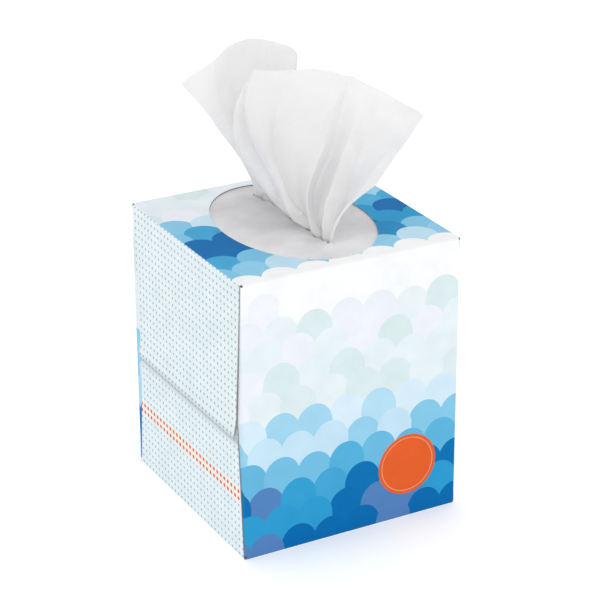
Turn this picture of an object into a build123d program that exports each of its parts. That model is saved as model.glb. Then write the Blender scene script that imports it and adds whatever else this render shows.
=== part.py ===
from build123d import *
import math
import os

# Upright tissue box in millimetres. Z is up and the origin is on the table, under the middle of the carton.
# The front panel faces -Y, and the glued ends of the carton face -X and +X.

# Carton
carton_width = 110.0  # along X, over the bottom flaps of the two ends
carton_depth = 110.0  # along Y, front panel to back panel
carton_height = 133.0
board = 0.5  # paperboard thickness
fold_radius = 0.5  # to the middle of the board, at every fold
glue_tab = 14.0  # strip inside the back bottom edge
seam_setback = 1.6  # raw edge of the bottom panel, from the back face
dust_flap = 45.0  # length of the four inner flaps
dust_end_taper = 6.0  # how much shorter an inner flap's free end is, above and below
dust_head_gap = 0.9  # from the inner flaps up to the top
dust_foot_gap = 1.6  # and down to the table
glued_band = 6.0  # height of the lap where the top flap is glued over the bottom flap
free_lip = 9.0  # height of the unglued lip below it
lip_lift = 1.2  # how far the lip springs off
flap_root_front_setback = 0.9  # side edges of the outer flaps at the fold, from the front face
flap_root_back_setback = 2.6  # and from the back face
flap_front_setback = 5.7  # side edges at the free edge, from the front face
flap_back_setback = 7.6  # and from the back face
flap_corner = 2.0  # radius of the free corners
lean_start = 14.0  # below the top, where the top flap begins to lean out over the bottom flap
lap_step = 1.0  # height over which it settles on the bottom flap

# Window
opening_width = 68.0  # oval in the top panel, along X
opening_margin = 6.0  # from the oval's ends to the front and back faces
film = 0.12  # plastic sheet under the top panel
film_overlap = 3.5  # glued border round the oval
film_corner = 3.0
slit_margin = 6.0  # from the slit's ends to the oval's ends
slit_width = 8.4  # at its middle, where the sheet holds it open

# Tissue stack, one folded clip bent over into an arch
clip_thickness = 36.5
clip_foot = 5.0  # innermost sheets, crushed flat on the bottom panel
clip_clearance = 0.5  # to the front and back panels
clip_end_clearance = 1.0  # to the inner flaps
clip_headroom = 1.2  # from the crest to the film

# Pop-up tissue
tissue = 0.3
tissue_seat_gap = 0.05  # over the crest that it stands on
pleats = 7.5  # small gathers across the sheet
pleat_depth = 0.9
sheet_steps = 80  # facets across the sheet
sheet_levels = (-1, -0.5, 0, 0.06, 0.13, 0.21, 0.3, 0.4, 0.5, 0.6, 0.7, 0.8, 0.9, 1)  # 0 at the film
slope_step = 0.004  # share of the sheet over which its slopes are taken
# Three lines across the sheet, each at eleven even steps from its back side edge to its front side edge.
# The foot line is in shares of the slit's half width and half length.
foot_line = [
    (0.0, 0.88),
    (0.1, 0.77),
    (0.3, 0.63),
    (0.5, 0.45),
    (0.2, 0.2),
    (0.1, -0.14),
    (0.4, -0.36),
    (0.0, -0.51),
    (0.4, -0.63),
    (0.1, -0.72),
    (0.0, -0.79),
]
# The other two give X, Y and the height over the film.
waist_line = [
    (-13.0, 28.0, 25.0),
    (-3.0, 31.0, 24.5),
    (6.0, 28.0, 25.0),
    (10.0, 20.0, 27.0),
    (-5.0, 11.0, 31.0),
    (-24.0, 4.0, 38.0),
    (-15.0, -7.0, 36.0),
    (-1.0, -8.0, 34.0),
    (12.0, -11.0, 33.0),
    (26.0, -18.0, 32.0),
    (39.0, -24.0, 31.0),
]
top_line = [
    (-48.5, 10.0, 69.5),
    (-31.0, 14.0, 78.5),
    (-12.0, 18.0, 82.0),
    (9.5, 15.0, 75.5),
    (1.0, 4.0, 66.5),
    (-20.5, -2.0, 75.0),
    (-2.0, -8.0, 74.0),
    (15.5, -12.0, 72.0),
    (30.0, -14.0, 64.0),
    (45.5, -15.0, 54.5),
    (60.5, -14.0, 44.5),
]

# Shared faces
half_width = carton_width / 2
half_depth = carton_depth / 2
bend = fold_radius + board / 2  # outer radius of a fold
dust_face = half_width - board  # outer face of the inner flaps
panel_end = dust_face - bend  # where the front and back panels turn into the inner flaps
flap_start = panel_end - bend  # the flaps are drawn from here, inside the panels
outer_flap = (carton_height + glued_band + free_lip) / 2  # length of the top and bottom flaps
opening_length = carton_depth - 2 * opening_margin
slit_length = opening_length - 2 * slit_margin
film_top = carton_height - board


def strip(*runs):
    """A band of board along the runs of a folded line."""
    return trace(list(runs), board)


def make_tube():
    """Back, top, front and bottom panels as one folded strip, and the glue tab that turns in."""
    wall = half_depth - board / 2
    low = board / 2
    high = carton_height - board / 2
    tab_height = low + board
    back_start = (wall, tab_height + 2 * bend)
    panels = FilletPolyline(
        back_start,
        (wall, high),
        (-wall, high),
        (-wall, low),
        (half_depth - seam_setback, low),
        radius=fold_radius,
    )
    tab = FilletPolyline((wall - glue_tab, tab_height), (wall, tab_height), back_start, radius=fold_radius)
    tube = extrude(Plane.YZ * strip(panels), amount=panel_end, both=True)
    return tube + extrude(Plane.YZ * strip(tab), amount=panel_end, both=True)


def flap_outline(root_height, end_height):
    """Tapered outline of an outer flap, seen from its end of the carton."""
    outline = Polygon(
        (flap_root_front_setback - half_depth, root_height),
        (half_depth - flap_root_back_setback, root_height),
        (half_depth - flap_back_setback, end_height),
        (flap_front_setback - half_depth, end_height),
        align=None,
    )
    corners = outline.vertices().sort_by_distance((0, end_height))[:2]
    outline = fillet(corners, radius=flap_corner)
    return extrude(Plane.YZ * outline, amount=2 * half_width, both=True)


def make_dust_flap():
    """Inner flap of the -X end that turns off the front panel."""
    face = dust_face - board / 2
    wall = half_depth - board / 2
    tip = dust_flap - half_depth
    line = FilletPolyline((-flap_start, -wall), (-face, -wall), (-face, tip), radius=fold_radius)
    blank = extrude(strip(line), amount=carton_height)
    low = dust_foot_gap
    high = carton_height - dust_head_gap
    outline = Polygon(
        (-half_depth, low),
        (-half_depth + bend, low),
        (tip, low + dust_end_taper),
        (tip, high - dust_end_taper),
        (-half_depth + bend, high),
        (-half_depth, high),
        align=None,
    )
    return blank & extrude(Plane.YZ * outline, amount=2 * half_width, both=True)


def make_bottom_flap():
    """Flap of the -X end that turns up from the bottom panel."""
    face = half_width - board / 2
    low = board / 2
    line = FilletPolyline((-flap_start, low), (-face, low), (-face, outer_flap), radius=fold_radius)
    blank = extrude(Plane.XZ * strip(line), amount=half_depth, both=True)
    return blank & flap_outline(0, outer_flap)


def make_top_flap():
    """Flap of the -X end that turns down from the top panel and laps over the bottom flap."""
    face = half_width - board / 2
    out = half_width + board / 2
    high = carton_height - board / 2
    free = carton_height - outer_flap
    lean = carton_height - lean_start
    fold = FilletPolyline((-flap_start, high), (-face, high), (-face, lean), radius=fold_radius)
    fall = Polyline(
        (-face, lean),
        (-out, outer_flap + lap_step),
        (-out, free + free_lip),
        (-out - lip_lift, free),
    )
    blank = extrude(Plane.XZ * strip(fold, fall), amount=half_depth, both=True)
    return blank & flap_outline(carton_height, free)


def make_carton():
    front_dust = make_dust_flap()
    end = front_dust + mirror(front_dust, about=Plane.XZ) + make_bottom_flap() + make_top_flap()
    carton = make_tube() + end + mirror(end, about=Plane.YZ)
    oval = Plane.XY.offset(carton_height - 2 * board) * Ellipse(opening_width / 2, opening_length / 2)
    return carton - extrude(oval, amount=3 * board)


def make_film():
    """Plastic sheet with a slit that the standing tissue holds open."""
    width = opening_width + 2 * film_overlap
    length = opening_length + 2 * film_overlap
    sheet = RectangleRounded(width, length, film_corner)
    end = slit_length / 2
    lips = ThreePointArc((0, -end), (slit_width / 2, 0), (0, end))
    lips += ThreePointArc((0, end), (-slit_width / 2, 0), (0, -end))
    return extrude(Plane.XY.offset(film_top) * (sheet - make_face(lips)), amount=-film)


clip_outer = half_depth - board - clip_clearance
clip_inner = clip_outer - clip_thickness
crest = film_top - film - clip_headroom
spring = crest - clip_outer  # height where the legs turn into the arch
half_sheet = spring - board + clip_inner * math.pi / 2  # length of every sheet on each side of the crest


def make_stack():
    """Arch of folded sheets, all of one length, so the outer ones end higher."""
    outer_end = spring - (half_sheet - clip_outer * math.pi / 2)
    side = Polyline(
        (clip_outer, spring),
        (clip_outer, outer_end),
        (clip_inner + clip_foot, board),
        (clip_inner, board),
        (clip_inner, spring),
    )
    outline = side + mirror(side, about=Plane.YZ)
    outline += ThreePointArc((clip_outer, spring), (0, crest), (-clip_outer, spring))
    outline += ThreePointArc((clip_inner, spring), (0, spring + clip_inner), (-clip_inner, spring))
    length = half_width - 2 * board - clip_end_clearance
    return extrude(Plane.YZ * make_face(outline), amount=length, both=True)


foot_points = [(x * slit_width / 2, y * slit_length / 2, 0) for x, y in foot_line]


def along(line, share):
    """Point of a smooth curve through evenly spaced points."""
    spans = len(line) - 1
    place = share * spans
    i = min(int(place), spans - 1)
    u = place - i
    before = Vector(line[i - 1]) if i > 0 else Vector(line[0]) * 2 - Vector(line[1])
    after = Vector(line[i + 2]) if i + 2 <= spans else Vector(line[-1]) * 2 - Vector(line[-2])
    a = Vector(line[i])
    b = Vector(line[i + 1])
    slope_a = (b - before) * 0.5
    slope_b = (after - a) * 0.5
    point = a * (2 * u**3 - 3 * u**2 + 1) + slope_a * (u**3 - 2 * u**2 + u)
    return point + b * (3 * u**2 - 2 * u**3) + slope_b * (u**3 - u**2)


def tissue_point(across, up):
    """Point of the sheet: the share across it, and the share up from the film, or down to the stack."""
    foot = along(foot_points, across)
    if up < 0:
        seat = spring + math.sqrt((clip_outer + tissue_seat_gap) ** 2 - foot.Y**2)
        return Vector(foot.X, foot.Y, film_top + up * (film_top - seat))
    waist = along(waist_line, across)
    top = along(top_line, across)
    pull = waist * 2 - (foot + top) * 0.5
    point = foot * (1 - up) ** 2 + pull * (2 * up * (1 - up)) + top * up**2
    ahead = along(waist_line, min(across + slope_step, 1)) - along(waist_line, max(across - slope_step, 0))
    sideways = Vector(-ahead.Y, ahead.X, 0).normalized()
    wave = math.sin(2 * math.pi * pleats * across) * math.sin(math.pi * up) ** 2
    return point + sideways * (pleat_depth * wave) + Vector(0, 0, film_top)


def tissue_net(side):
    """Rows of points on one face of the sheet, half its thickness off its middle."""
    net = []
    for up in sheet_levels:
        row = []
        for i in range(sheet_steps + 1):
            across = i / sheet_steps
            left = tissue_point(max(across - slope_step, 0), up)
            right = tissue_point(min(across + slope_step, 1), up)
            below = tissue_point(across, max(up - slope_step, -1))
            above = tissue_point(across, min(up + slope_step, 1))
            normal = (right - left).cross(above - below).normalized()
            row.append(tissue_point(across, up) + normal * (side * tissue / 2))
        net.append(row)
    return net


def net_cells(net):
    """Four corners of each cell of a net of points."""
    return [
        (low[i], low[i + 1], high[i + 1], high[i])
        for low, high in zip(net, net[1:])
        for i in range(len(low) - 1)
    ]


def make_tissue():
    """The standing sheet, gathered in the slit, with its lower edge on the crest of the stack."""
    near = tissue_net(1)
    far = tissue_net(-1)
    cells = net_cells(near) + net_cells(far)
    cells += net_cells([near[0], far[0]]) + net_cells([near[-1], far[-1]])
    for end in (0, -1):
        cells += net_cells([[row[end] for row in near], [row[end] for row in far]])
    facets = [corners for a, b, c, d in cells for corners in ((a, b, c), (a, c, d))]
    return Solid(Shell([Face(Wire.make_polygon(corners)) for corners in facets]))


os.makedirs("parts", exist_ok=True)
export_step(make_carton(), "parts/carton.step")
export_step(make_film(), "parts/window_film.step")
export_step(make_stack(), "parts/tissue_stack.step")
export_step(make_tissue(), "parts/pop_up_tissue.step")
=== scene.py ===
import bpy
import math
import numpy as np
from mathutils import Matrix, Vector


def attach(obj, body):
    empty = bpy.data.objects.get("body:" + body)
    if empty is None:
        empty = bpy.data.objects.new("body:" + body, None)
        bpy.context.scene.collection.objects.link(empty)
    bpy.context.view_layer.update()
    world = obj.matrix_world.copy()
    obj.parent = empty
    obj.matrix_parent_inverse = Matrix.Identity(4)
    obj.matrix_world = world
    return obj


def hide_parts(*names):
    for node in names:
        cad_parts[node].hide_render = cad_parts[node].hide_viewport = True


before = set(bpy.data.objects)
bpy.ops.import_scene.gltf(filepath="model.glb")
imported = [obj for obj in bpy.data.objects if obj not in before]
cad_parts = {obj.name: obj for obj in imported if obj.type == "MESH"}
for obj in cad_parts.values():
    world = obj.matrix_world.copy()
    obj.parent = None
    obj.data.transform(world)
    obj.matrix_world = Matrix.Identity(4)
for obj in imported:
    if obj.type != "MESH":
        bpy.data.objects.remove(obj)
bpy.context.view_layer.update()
MM = 0.001

# Sizes that the carton, film and sheet share, in millimetres
HALF = 55.0
TOP = 133.0
BOARD = 0.5
FILM_TOP = TOP - BOARD
OVAL = (34.0, 49.0)
FILM = (37.5, 52.5)
SLIT = (4.2, 43.0)
ARCH_OUTER = 54.0
ARCH_INNER = 17.5
CREST = 131.18
SPRING = CREST - ARCH_OUTER


def colour(code):
    """Linear colour of a hex code."""
    parts = [int(code[i:i + 2], 16) / 255 for i in (0, 2, 4)]
    return tuple(c / 12.92 if c <= 0.04045 else ((c + 0.055) / 1.055) ** 2.4 for c in parts) + (1.0,)


class Graph:
    """A node material, written as short expressions."""

    def __init__(self, name):
        self.material = bpy.data.materials.new(name)
        self.material.use_nodes = True
        self.nodes = self.material.node_tree.nodes
        self.links = self.material.node_tree.links
        self.shader = self.nodes["Principled BSDF"]
        self.output = self.nodes["Material Output"]

    def put(self, socket, value):
        if isinstance(value, bpy.types.NodeSocket):
            self.links.new(value, socket)
        else:
            socket.default_value = value

    def set(self, **values):
        for name, value in values.items():
            self.put(self.shader.inputs[name.replace("_", " ")], value)

    def math(self, operation, *values, clamp=False):
        node = self.nodes.new("ShaderNodeMath")
        node.operation = operation
        node.use_clamp = clamp
        for socket, value in zip(node.inputs, values):
            self.put(socket, value)
        return node.outputs[0]

    def add(self, *v):
        return self.math("ADD", *v)

    def sub(self, *v):
        return self.math("SUBTRACT", *v)

    def mul(self, *v):
        return self.math("MULTIPLY", *v)

    def less(self, *v):
        return self.math("LESS_THAN", *v)

    def more(self, *v):
        return self.math("GREATER_THAN", *v)

    def top(self, *v):
        return self.math("MAXIMUM", *v)

    def clamp(self, value, low, high):
        return self.math("MINIMUM", self.top(value, low), high)

    def smooth(self, value, low, high):
        node = self.nodes.new("ShaderNodeMapRange")
        node.interpolation_type = "SMOOTHSTEP"
        for name, v in (("Value", value), ("From Min", low), ("From Max", high)):
            self.put(node.inputs[name], v)
        return node.outputs[0]

    def pick(self, factor, a, b):
        node = self.nodes.new("ShaderNodeMix")
        for i, v in ((0, factor), (2, a), (3, b)):
            self.put(node.inputs[i], v)
        return node.outputs[0]

    def blend(self, factor, a, b, how="MIX"):
        node = self.nodes.new("ShaderNodeMix")
        node.data_type = "RGBA"
        node.blend_type = how
        for i, v in ((0, factor), (6, a), (7, b)):
            self.put(node.inputs[i], v)
        return node.outputs[2]

    def join(self, x, y, z):
        node = self.nodes.new("ShaderNodeCombineXYZ")
        for socket, v in zip(node.inputs, (x, y, z)):
            self.put(socket, v)
        return node.outputs[0]

    def split(self, vector):
        node = self.nodes.new("ShaderNodeSeparateXYZ")
        self.put(node.inputs[0], vector)
        return node.outputs

    def place(self):
        """X, Y and Z on the piece in millimetres."""
        here = self.nodes.new("ShaderNodeTexCoord").outputs["Object"]
        return [self.mul(v, 1000.0) for v in self.split(here)]

    def normal(self):
        return self.split(self.nodes.new("ShaderNodeNewGeometry").outputs["True Normal"])

    def chance(self, x, y, z):
        """A random number for a place."""
        node = self.nodes.new("ShaderNodeTexWhiteNoise")
        self.put(node.inputs["Vector"], self.join(x, y, z))
        return node.outputs["Value"]

    def noise(self, vector, scale, detail=3.0, rough=0.55):
        node = self.nodes.new("ShaderNodeTexNoise")
        for name, v in (("Vector", vector), ("Scale", scale), ("Detail", detail), ("Roughness", rough)):
            self.put(node.inputs[name], v)
        return node.outputs["Fac"]

    def ramp(self, value, stops):
        node = self.nodes.new("ShaderNodeValToRGB")
        while len(node.color_ramp.elements) < len(stops):
            node.color_ramp.elements.new(1.0)
        for element, (at, code) in zip(node.color_ramp.elements, stops):
            element.position = at
            element.color = colour(code) if isinstance(code, str) else (code, code, code, 1.0)
        self.put(node.inputs[0], value)
        return node.outputs[0]

    def bump(self, height, distance, strength=1.0):
        node = self.nodes.new("ShaderNodeBump")
        self.put(node.inputs["Height"], height)
        node.inputs["Distance"].default_value = distance
        node.inputs["Strength"].default_value = strength
        self.put(self.shader.inputs["Normal"], node.outputs[0])
        return node.outputs[0]


# Print of the carton: fish-scale scallops that pale upwards, and dotted ends
SCALLOP = 16.4
ROW = 11.6
DOME = 9.8
SPREAD = 0.55
SWAY = 1.4
BADGE = (28.7, 27.0)
BADGE_RADIUS = 15.0
RING = (13.1, 13.5)
DOT_PITCH = 3.45
DOT = 0.68


def scallop(g, u, v):
    """Row and number of the scallop at (u, v). Lower rows lie over higher ones, even numbers over odd ones."""
    base = g.math("FLOOR", g.mul(v, 1 / ROW))
    shown_row = shown = None
    for step in (2.0, 1.0, 0.0, -1.0):
        row = g.add(base, step)
        place = g.add(g.mul(u, 1 / SCALLOP), g.mul(row, 0.5))
        own = g.math("FLOOR", place)
        if shown is None:
            shown_row, shown = row, own
            continue
        off = g.sub(g.sub(place, own), 0.5)
        beside = g.add(own, g.math("SIGN", off))
        covers = []
        for number, away in ((own, off), (beside, g.sub(off, g.math("SIGN", off)))):
            bow = g.sub(1.0, g.mul(g.mul(away, away), 1 / SPREAD**2))
            sway = g.mul(g.sub(g.chance(number, row, 7.3), 0.5), 2 * SWAY)
            edge = g.add(g.add(g.mul(row, ROW), sway), g.mul(g.math("SQRT", g.top(bow, 0.0)), DOME))
            covers.append(g.mul(g.less(v, edge), g.more(bow, 0.0)))
        even = g.less(g.math("FLOORED_MODULO", beside, 2.0), 0.5)
        passed = g.mul(covers[1], g.top(even, g.sub(1.0, covers[0])))
        inside = g.top(covers[0], covers[1])
        shown = g.pick(inside, shown, g.pick(passed, own, beside))
        shown_row = g.pick(inside, shown_row, row)
    return shown_row, shown


def carton_material():
    g = Graph("printed_board")
    x, y, z = g.place()
    nx, ny, nz = g.normal()
    core = ((x, -54.0, 54.0), (y, -54.0, 54.0), (z, 1.0, 132.0))
    out = [g.sub(v, g.clamp(v, low, high)) for v, low, high in core]
    square = g.add(g.add(g.mul(out[0], out[0]), g.mul(out[1], out[1])), g.mul(out[2], out[2]))
    size = g.math("SQRT", square)
    facing = g.add(g.add(g.mul(out[0], nx), g.mul(out[1], ny)), g.mul(out[2], nz))
    printed = g.more(facing, g.mul(size, 0.3))
    ax, ay, az = [g.math("ABSOLUTE", v) for v in out]
    end = g.mul(g.mul(g.more(ax, ay), g.more(ax, az)), g.more(g.math("ABSOLUTE", x), 54.7))
    lid = g.mul(g.more(az, g.top(ax, ay)), g.more(z, 66.0))
    base = g.mul(g.more(az, g.top(ax, ay)), g.less(z, 66.0))

    # Place in the print: along the walls, or on the top panel
    hand = g.math("SIGN", x)
    front = g.add(x, g.mul(hand, g.add(y, HALF)))
    back = g.mul(g.add(x, g.mul(hand, g.sub(HALF, y))), -1.0)
    wall = g.pick(g.less(y, 0.0), g.add(back, 400.0), front)
    u = g.add(g.pick(lid, wall, g.add(x, 900.0)), 3.0)
    v = g.add(g.pick(lid, z, g.sub(y, 2.0)), 300.0)
    row, number = scallop(g, u, v)
    level = g.sub(g.mul(row, ROW), 300.0 - 0.45 * DOME)
    luck = g.chance(number, row, 2.1)
    drift = g.noise(g.join(g.mul(number, 0.31), g.mul(row, 0.27), 0.0), 1.0, 1.0)
    on_top = g.ramp(g.math("DIVIDE", g.add(level, HALF), 110.0), [
        (0.0, 0.96), (0.07, 0.96), (0.09, 0.37), (0.16, 0.35), (0.19, 0.29), (0.28, 0.27), (0.3, 0.12),
        (0.46, 0.08), (0.51, 0.27), (0.6, 0.3), (0.63, 0.42), (0.7, 0.47), (0.72, 0.6),
        (0.85, 0.74), (1.0, 0.86)])
    tone = g.pick(lid, g.math("DIVIDE", level, TOP), on_top)
    tone = g.add(tone, g.mul(g.sub(drift, 0.5), 0.16))
    main = g.ramp(tone, [
        (0.0, "006CB0"), (0.24, "0273B5"), (0.265, "38A4D4"), (0.305, "55B3DC"), (0.33, "8FCDEB"),
        (0.44, "9DD4EE"), (0.49, "BCE1F3"), (0.51, "EAF3F8"), (0.6, "E6F1F4"), (0.72, "E9F3F6"),
        (0.9, "EAF3F7"), (0.925, "FBFCFD")])
    light = g.ramp(tone, [
        (0.0, "2A9AD0"), (0.24, "2F9FD2"), (0.265, "6FBFE3"), (0.305, "8CCBE9"), (0.33, "BFE2F4"),
        (0.44, "CDE9F7"), (0.49, "DCEFF9"), (0.51, "F2F5FB"), (0.6, "F1F3FB"), (0.72, "EFF2FB"),
        (0.9, "EFF3FA"), (0.925, "FBFCFD")])
    accent = g.ramp(tone, [
        (0.0, "5584BE"), (0.24, "5584BE"), (0.265, "2A98CC"), (0.305, "45AAD7"), (0.33, "7FC6E7"),
        (0.44, "8CCCEA"), (0.49, "A8D8EF"), (0.51, "DFEDF0"), (0.6, "DCECED"), (0.72, "DCECEC"),
        (0.9, "DEECEE"), (0.925, "FBFCFD")])
    scales = g.blend(g.more(luck, 0.55), main, light)
    scales = g.blend(g.more(luck, 0.8), scales, accent)

    # A plain round badge on the front
    bx = g.sub(x, BADGE[0])
    bz = g.sub(z, BADGE[1])
    reach = g.math("SQRT", g.add(g.mul(bx, bx), g.mul(bz, bz)))
    ring = g.mul(g.more(reach, RING[0]), g.less(reach, RING[1]))
    disc = g.blend(ring, colour("E8622A"), colour("F3A27E"))
    badge = g.mul(g.less(reach, BADGE_RADIUS), g.less(y, -54.2))
    scales = g.blend(badge, scales, disc)

    # Dots on the ends, two rows of them orange
    dy = g.sub(g.math("FLOORED_MODULO", y, DOT_PITCH), DOT_PITCH / 2)
    dz = g.sub(g.math("FLOORED_MODULO", z, DOT_PITCH), DOT_PITCH / 2)
    line = g.math("FLOOR", g.mul(z, 1 / DOT_PITCH))
    orange = g.mul(g.more(line, 7.5), g.less(line, 9.5))
    dot = g.less(g.math("SQRT", g.add(g.mul(dy, dy), g.mul(dz, dz))), g.add(DOT, g.mul(orange, 0.26)))
    paper = g.blend(orange, colour("EAF4F8"), colour("F6F1EC"))
    dots = g.blend(dot, paper, g.blend(orange, colour("A3BFCC"), colour("E0602C")))

    # A soft shade under the free lip of the outer flap, and on the lip's edge
    under = g.mul(g.smooth(z, 53.2, 57.4), g.mul(g.less(z, 59.2), g.less(g.math("ABSOLUTE", x), 55.1)))
    lip = g.mul(g.smooth(z, 62.0, 59.4), g.more(g.math("ABSOLUTE", x), 55.8))
    dots = g.blend(g.add(g.mul(under, 0.52), g.mul(lip, 0.22)), dots, colour("8E989D"))
    ink = g.blend(end, scales, dots)
    ink = g.blend(base, ink, colour("F4F5F4"))

    # Board: fibre in the bare inside and cut edges, a faint mottle in the print, pale folds
    where = g.join(x, y, z)
    fibre = g.noise(where, 1.6, 5.0, 0.7)
    mottle = g.noise(where, 0.09, 3.0)
    raw = g.ramp(fibre, [(0.25, "868380"), (0.75, "ABA8A3")])
    # Folds and edges turn paler in patches
    rim = g.smooth(g.math("MINIMUM", g.top(ax, ay), g.top(az, g.math("MINIMUM", ax, ay))), 0.45, 0.75)
    pale_fold_patches = g.mul(rim, g.smooth(g.noise(where, 0.7, 4.0, 0.7), 0.5, 0.72))
    ink = g.blend(g.mul(pale_fold_patches, 0.35), ink, colour("F7F7F5"))
    ink = g.blend(1.0, ink, g.ramp(mottle, [(0.3, "F7F8F9"), (0.7, "FFFFFF")]), "MULTIPLY")
    g.set(Base_Color=g.blend(printed, raw, ink))
    g.set(Roughness=g.pick(printed, 0.85, g.add(0.36, g.mul(fibre, 0.16))), Specular_IOR_Level=0.05)
    g.bump(g.add(g.mul(fibre, 0.5), g.mul(mottle, 0.6)), 0.00004)
    return g.material


def film_material():
    g = Graph("film")
    x, y, z = g.place()
    where = g.join(x, y, z)
    haze = g.noise(where, 0.05, 3.0)
    grain = g.noise(where, 1.2, 3.0)
    # Painted shade: the film is lighter towards the front and left and darker towards the back and right, over
    # a random haze
    haze_and_painted_shade = g.sub(haze, g.mul(g.add(g.mul(y, 0.8), x), 0.005))
    g.set(Base_Color=g.ramp(haze_and_painted_shade, [(0.25, "D4D3D6"), (0.8, "F8F7F9")]))
    g.set(Roughness=g.add(0.26, g.mul(grain, 0.14)))
    g.bump(g.add(g.mul(haze, 1.0), g.mul(grain, 0.08)), 0.0004)
    clear = g.nodes.new("ShaderNodeBsdfTransparent")
    mix = g.nodes.new("ShaderNodeMixShader")
    g.put(mix.inputs[0], 0.15)
    g.put(mix.inputs[1], g.shader.outputs[0])
    g.put(mix.inputs[2], clear.outputs[0])
    g.put(g.output.inputs["Surface"], mix.outputs[0])
    return g.material


def tissue_material(name, through):
    g = Graph(name)
    x, y, z = g.place()
    where = g.join(x, y, z)
    fibre = g.noise(where, 2.2, 5.0, 0.7)
    crepe = g.noise(g.join(g.mul(x, 0.25), g.mul(y, 0.25), g.mul(z, 1.6)), 1.6, 4.0, 0.6)
    cloud = g.noise(where, 0.06, 3.0)
    white = g.ramp(g.add(g.mul(fibre, 0.5), g.mul(cloud, 0.5)), [(0.3, "F1F0F0"), (0.7, "FDFCFC")])
    g.set(Base_Color=white, Roughness=0.92)
    g.shader.inputs["Specular IOR Level"].default_value = 0.2
    normal = g.bump(g.add(g.mul(fibre, 0.4), g.mul(crepe, 0.7)), 0.00012)
    glow = g.nodes.new("ShaderNodeBsdfTranslucent")
    g.put(glow.inputs["Color"], white)
    g.put(glow.inputs["Normal"], normal)
    mix = g.nodes.new("ShaderNodeMixShader")
    g.put(mix.inputs[0], through)
    g.put(mix.inputs[1], g.shader.outputs[0])
    g.put(mix.inputs[2], glow.outputs[0])
    g.put(g.output.inputs["Surface"], mix.outputs[0])
    return g.material


def floor_material():
    g = Graph("pale_floor")
    x, y, z = g.place()
    cloud = g.noise(g.join(x, y, z), 0.01, 2.0)
    g.set(Base_Color=g.ramp(cloud, [(0.3, "FBFBFB"), (0.7, "FDFDFD")]), Roughness=0.9)
    g.set(Emission_Color=(1.0, 1.0, 1.0, 1.0), Emission_Strength=0.22)
    return g.material


def piece(name, points, faces, material, slot=None, smooth=True):
    """A mesh piece from points in millimetres."""
    mesh = bpy.data.meshes.new(name)
    mesh.from_pydata((np.asarray(points, float) * MM).tolist(), [], faces)
    mesh.validate()
    obj = bpy.data.objects.new(name, mesh)
    bpy.context.scene.collection.objects.link(obj)
    mesh.materials.append(material)
    mesh.polygons.foreach_set("use_smooth", [smooth] * len(mesh.polygons))
    if slot:
        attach(obj, "root")
    return obj


def grid_faces(rows, columns, first=0):
    return [
        (at, at + 1, at + columns + 1, at + columns)
        for j in range(rows - 1)
        for at in range(first + j * columns, first + (j + 1) * columns - 1)
    ]


# Window film, two half sheets that part at the slit and close on the sheet that stands in it
LIP_GAP = 0.3


def make_film(sheet):
    across = 40
    along = 130
    height = sheet[:, 2] - FILM_TOP
    stations = np.linspace(-FILM[1], FILM[1], along + 1)
    window = np.hanning(9)[1:-1] / np.hanning(9).sum()
    points = []
    faces = []
    for hand in (-1.0, 1.0):
        # The left lip lies low. The right one is lifted, so it meets the sheet higher up and further out.
        meets, widest = (4.2, 5.8) if hand > 0 else (1.3, SLIT[0])
        foot = sheet[(height > -0.5) & (height < meets)]
        reach = np.array([
            max([hand * q[0] + LIP_GAP for q in foot if abs(q[1] - y) < 1.2], default=min(0.0, 0.2 * hand))
            for y in stations])
        reach = np.minimum(reach, widest * np.maximum(1 - (stations / SLIT[1]) ** 2, 0))
        reach = np.maximum(reach, np.convolve(np.pad(reach, 3), window, "valid"))
        if hand > 0:
            shut = (stations > foot[:, 1].max()) | (stations < foot[:, 1].min())
            reach[shut] = -other_lip[shut]
        other_lip = reach
        first = len(points)
        for y, lip in zip(stations, reach):
            close = min(1.0, max(33.0 - abs(y - 3.0), 0.0) / 6.0)
            sag = close * (0.5 + 0.3 * min(1.0, (y / 25.0) ** 2)) if hand < 0 else 0.0
            for i in range(across + 1):
                x = lip + (FILM[0] - lip) * (i / across) ** 1.8
                inside = max(0.0, 1 - (x / OVAL[0]) ** 2 - (y / OVAL[1]) ** 2)
                lift = (2.2 * close * math.exp(-((x - lip) / 1.6)) if hand > 0 else 0.0)
                lift += 1.6 * math.exp(-(((y + 35.5) / 2.0) ** 2) - (x - lip) / 1.5)
                lift = (lift - sag * math.exp(-(((x - lip) / 6.0) ** 2))) * min(1.0, inside * 3)
                wave = 0.3 * math.sin(0.31 * y + 0.11 * hand * x) * inside * min(1.0, inside * 3)
                points.append((hand * x, y, FILM_TOP - 0.06 + lift + wave + 1.1 * inside))
        side = grid_faces(along + 1, across + 1, first)
        faces += side if hand > 0 else [f[::-1] for f in side]
    film = piece("window_film_sheet", points, faces, film_material(), "film")
    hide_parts("window_film")


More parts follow.
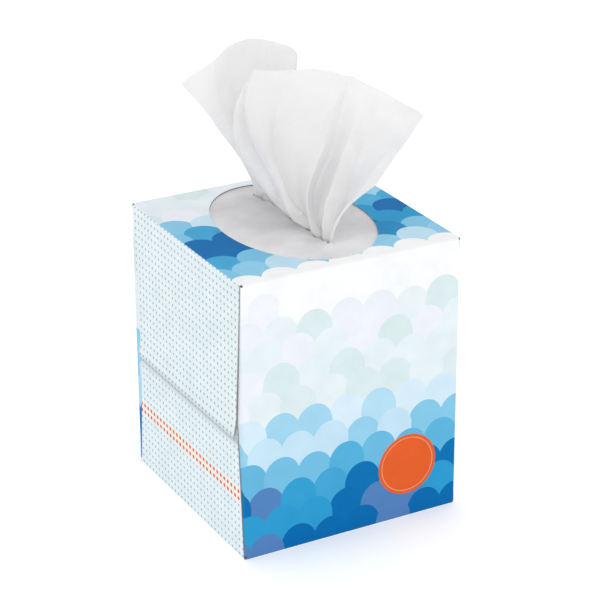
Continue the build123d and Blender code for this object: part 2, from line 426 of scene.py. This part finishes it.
# Folded clip of tissues bent over into an arch
def make_stack():
    rng = np.random.default_rng(11)
    layers = 40
    steps = 36
    half = SPRING - BOARD + ARCH_INNER * math.pi / 2
    points = []
    faces = []
    for k in range(layers):
        inner = ARCH_INNER + (ARCH_OUTER - ARCH_INNER) * k / layers + 0.08
        outer = ARCH_INNER + (ARCH_OUTER - ARCH_INNER) * (k + 1) / layers - 0.02
        middle = (inner + outer) / 2
        reach = 53.0 - 0.9 * rng.random()
        leg = max(half - middle * math.pi / 2, 4.0) - 0.8 * rng.random()
        first = len(points)
        for s in np.linspace(-1, 1, steps + 1):
            bow = middle * math.pi / 2
            run = abs(s) * (bow + leg)
            angle = min(run, bow) / middle
            down = max(run - bow, 0.0)
            for x, r in ((-reach, inner), (-reach, outer), (reach, outer), (reach, inner)):
                points.append((x, math.copysign(r * math.sin(angle), s), SPRING + r * math.cos(angle) - down))
        for j in range(steps):
            for i in range(4):
                a = first + 4 * j
                faces.append((a + i, a + (i + 1) % 4, a + 4 + (i + 1) % 4, a + 4 + i))
        faces.append((first, first + 3, first + 2, first + 1))
        last = first + 4 * steps
        faces.append((last, last + 1, last + 2, last + 3))
    paper = tissue_material("stack_tissue", 0.1)
    stack = piece("tissue_clip", points, faces, paper, "stack_tissue", smooth=False)
    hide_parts("tissue_stack")
    return stack


# Pop-up tissue
FOOT = np.array([
    (0.1, 0.88), (0.2, 0.77), (0.4, 0.63), (0.6, 0.45), (0.5, 0.2), (0.5, -0.14), (0.6, -0.36), (0.3, -0.51),
    (0.5, -0.63), (0.3, -0.72), (0.2, -0.79)]) * SLIT
FOOT = np.c_[FOOT, np.zeros(len(FOOT))]
WAIST = np.array([
    (-13, 28, 25), (-3, 31, 24.5), (6, 28, 25), (10, 20, 27), (-5, 11, 31), (-24, 4, 38), (-15, -7, 36),
    (-1, -8, 34), (12, -11, 33), (26, -18, 32), (39, -24, 31)], float)
FREE = np.array([
    (-48.5, 10, 69.5), (-31, 14, 78.5), (-12, 18, 82), (9.5, 15, 75.5), (1, 4, 66.5), (-20.5, -2, 75),
    (-2, -8, 74), (15.5, -12, 72), (30, -14, 64), (46.5, -13.2, 53.6), (63.0, -9.4, 42.2)], float)


def along(line, share):
    """Points of a smooth curve through evenly spaced points."""
    spans = len(line) - 1
    ext = np.concatenate([[2 * line[0] - line[1]], line, [2 * line[-1] - line[-2]]])
    place = np.clip(share, 0, 1) * spans
    i = np.minimum(place.astype(int), spans - 1)
    t = (place - i).reshape((-1,) + (1,) * (line.ndim - 1))
    p0, p1, p2, p3 = ext[i], ext[i + 1], ext[i + 2], ext[i + 3]
    bend = (2 * p0 - 5 * p1 + 4 * p2 - p3) * t**2 + (3 * p1 - p0 - 3 * p2 + p3) * t**3
    return 0.5 * (2 * p1 + (p2 - p0) * t + bend)


def guide(across, up):
    """The gathered sheet as a smooth surface, at shares across it and up from the film."""
    foot, waist, free = along(FOOT, across), along(WAIST, across), along(FREE, across)
    pull = 2 * waist - (foot + free) / 2
    return foot * (1 - up) ** 2 + pull * (2 * up * (1 - up)) + free * up**2


# Creases of the sheet: place across it and height off it at five levels from the film to the free edge
CREASES = [
    ((0.00, 0.00, 0.00, 0.00, 0.00), (0.0, 0.0, 0.0, 0.0, 0.0)),
    ((0.04, 0.04, 0.035, 0.05, 0.09), (0.8, 1.6, 2.2, 2.8, 1.8)),
    ((0.10, 0.10, 0.11, 0.12, 0.14), (-0.8, -2.0, -2.0, -1.6, -0.8)),
    ((0.16, 0.16, 0.17, 0.18, 0.19), (1.0, 2.2, 1.8, 1.2, 0.6)),
    ((0.22, 0.22, 0.22, 0.23, 0.24), (-1.0, -2.4, -1.8, -1.2, -0.6)),
    ((0.28, 0.28, 0.28, 0.28, 0.28), (1.0, 2.4, 1.6, 0.8, 0.4)),
    ((0.37, 0.37, 0.37, 0.37, 0.37), (-1.0, -2.4, -1.6, -0.6, -0.3)),
    ((0.45, 0.46, 0.48, 0.485, 0.48), (1.0, 2.2, 2.8, 2.0, 0.6)),
    ((0.52, 0.55, 0.545, 0.525, 0.51), (-1.0, -3.8, -7.4, -4.0, 0.0)),
    ((0.58, 0.615, 0.597, 0.56, 0.54), (1.2, 4.0, 5.4, 3.0, 0.4)),
    ((0.62, 0.655, 0.645, 0.605, 0.58), (-1.0, -4.4, -8.0, -2.6, 0.0)),
    ((0.665, 0.69, 0.705, 0.675, 0.64), (-0.6, -2.6, 0.4, 0.6, 0.2)),
    ((0.695, 0.722, 0.763, 0.744, 0.712), (1.4, 5.8, 7.0, 6.2, 3.2)),
    ((0.735, 0.765, 0.81, 0.80, 0.757), (-1.8, -8.0, -4.8, -4.4, -1.8)),
    ((0.80, 0.84, 0.842, 0.832, 0.80), (1.6, 5.6, 4.6, 3.6, 0.8)),
    ((0.88, 0.895, 0.89, 0.885, 0.86), (-1.4, -5.6, -7.0, -3.8, -1.2)),
    ((0.96, 0.955, 0.96, 0.965, 0.95), (1.0, 2.0, 1.6, 0.8, 0.3)),
    ((1.00, 1.00, 1.00, 1.00, 1.00), (0.0, 0.0, 0.0, 0.0, 0.0)),
]


# Soft waves of the free part: size, turns across and up, start. The neck pulls in the sheet's front edge.
WAVES = ((0.5, 41.0, 9.0, 0.4), (0.45, -29.0, 15.0, 2.1), (0.35, 63.0, -13.0, 4.4))
NECK = 5.0

# Short tucks near the gather, on the gathered sheet's size in millimetres: place across and up, lean,
# half length, half width and height off the sheet
GATHERED = (90.0, 80.0)
TUCKS = (
    (0.53, 0.28, 0.3, 6.0, 2.3, 3.0), (0.57, 0.19, -0.3, 5.0, 1.9, -2.2), (0.59, 0.13, 0.5, 4.0, 1.8, 1.8),
    (0.64, 0.17, -0.4, 7.0, 2.0, 3.0), (0.69, 0.12, 0.3, 4.0, 1.8, -1.8), (0.79, 0.20, 0.6, 6.0, 2.2, 2.4),
    (0.86, 0.15, -0.5, 5.0, 2.0, 2.6), (0.92, 0.30, 0.4, 8.0, 2.5, -2.4), (0.86, 0.62, -0.5, 9.0, 3.0, 1.8),
    (0.67, 0.62, 0.6, 12.0, 3.5, -1.4))


def make_tissue():
    columns, rows = 161, 72
    across = np.linspace(0, 1, columns)
    fine = np.stack([guide(across, up) for up in np.linspace(0, 1, 161)])
    steps = np.linalg.norm(np.diff(fine, axis=0), axis=2)
    run = np.concatenate([np.zeros((1, columns)), np.cumsum(steps, axis=0)])
    share = np.linspace(0, 1, rows)
    points = np.empty((rows, columns, 3))
    for i in range(columns):
        for k in range(3):
            points[:, i, k] = np.interp(share * run[-1, i], run[:, i], fine[:, i, k])

    # Creases, waves and tucks stand off the surface, no wider than the slit at its foot
    ahead = np.gradient(points, axis=1)
    rise = np.gradient(points, axis=0)
    normal = np.cross(ahead, rise)
    normal /= np.linalg.norm(normal, axis=2)[:, :, None]
    levels = np.array(CREASES).transpose(2, 1, 0)
    seed = np.empty((rows, columns))
    for j, up in enumerate(share):
        places, heights = along(levels, np.array([up]))[0]
        seed[j] = np.interp(across, places, heights)
    height = share[:, None]
    for size, turns_across, turns_up, start in WAVES:
        seed += size * np.sin(turns_across * across + turns_up * height + start) * np.clip(2 * height, 0, 1)
    for at, up, lean, long, wide, size in TUCKS:
        a, b = GATHERED[0] * (across - at), GATHERED[1] * (height - up)
        off, on = a * math.cos(lean) - b * math.sin(lean), a * math.sin(lean) + b * math.cos(lean)
        seed += size * np.exp(-((off / wide) ** 2) - (on / long) ** 2)
    slit = 0.75 * SLIT[0] * (1 - (points[0, :, 1] / SLIT[1]) ** 2) + 20.0 * height
    points = points + normal * np.clip(seed, -slit, slit)[:, :, None]
    neck = NECK * np.sin(np.pi * np.clip(height / 0.42, 0, 1)) * np.clip((across - 0.88) / 0.12, 0, 1) ** 1.5
    points[:, :, :2] -= neck[:, :, None] * (0.88, -0.48)
    points[:, :, 2] = np.maximum(points[:, :, 2], 0.4 * height * run[-1])
    points[0, :, 2] = 0

    # The lowest row reaches down to the crest of the clip
    seat = SPRING + np.sqrt((ARCH_OUTER + 0.05) ** 2 - points[0, :, 1] ** 2) - FILM_TOP
    under = points[:1].copy()
    under[0, :, 2] = seat
    points = np.concatenate([under, points]) + (0, 0, FILM_TOP)
    faces = grid_faces(rows + 1, columns)
    tissue = piece("tissue_sheet", points.reshape(-1, 3), faces, tissue_material("tissue", 0.32), "tissue")
    smooth = tissue.modifiers.new("smooth", "SUBSURF")
    smooth.levels = smooth.render_levels = 1
    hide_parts("pop_up_tissue")
    return points.reshape(-1, 3)


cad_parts["carton"].data.materials.clear()
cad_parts["carton"].data.materials.append(carton_material())
make_stack()
make_film(make_tissue())

# Studio: pale floor, soft light, and the camera where the photograph was taken
corners = [(-4000, -4000, 0), (4000, -4000, 0), (4000, 4000, 0), (-4000, 4000, 0)]
floor = piece("floor", corners, [(0, 1, 2, 3)], floor_material())

scene = bpy.context.scene
scene.view_settings.view_transform = "Standard"
world = bpy.data.worlds.new("studio")
world.use_nodes = True
world.node_tree.nodes["Background"].inputs[0].default_value = (1.0, 1.0, 1.0, 1.0)
world.node_tree.nodes["Background"].inputs[1].default_value = 0.83
scene.world = world


def lamp(name, place, aim, size, power):
    data = bpy.data.lights.new(name, "AREA")
    data.size = size
    data.energy = power
    light = bpy.data.objects.new(name, data)
    scene.collection.objects.link(light)
    back = (np.array(place) - np.array(aim)).tolist()
    light.location = place
    light.rotation_euler = Vector(back).to_track_quat("Z", "Y").to_euler()
    return light


lamp("key", (-0.7, -1.7, 0.9), (0, 0, 0.1), 0.6, 3.4)
lamp("sky", (0.0, 0.3, 2.0), (0, 0, 0.1), 1.0, 3.8)

azimuth, elevation, roll = (math.radians(a) for a in (-28.5697, 23.8596, -0.3106))
level = math.cos(elevation)
back = np.array((math.sin(azimuth) * level, -math.cos(azimuth) * level, math.sin(elevation)))
right = np.array((math.cos(azimuth), math.sin(azimuth), 0.0))
over = np.cross(back, right)
turned = math.cos(roll) * right + math.sin(roll) * over
raised = math.cos(roll) * over - math.sin(roll) * right
camera = bpy.data.objects.new("camera", bpy.data.cameras.new("camera"))
camera.data.lens = 136.3
camera.data.sensor_width = 36.0
camera.data.clip_start = 0.05
camera.data.clip_end = 50.0
pose = np.eye(4)
pose[:3, 0], pose[:3, 1], pose[:3, 2], pose[:3, 3] = turned, raised, back, (-0.4518, -0.8363, 0.5140)
camera.matrix_world = Matrix(pose.tolist())
scene.collection.objects.link(camera)
scene.camera = camera
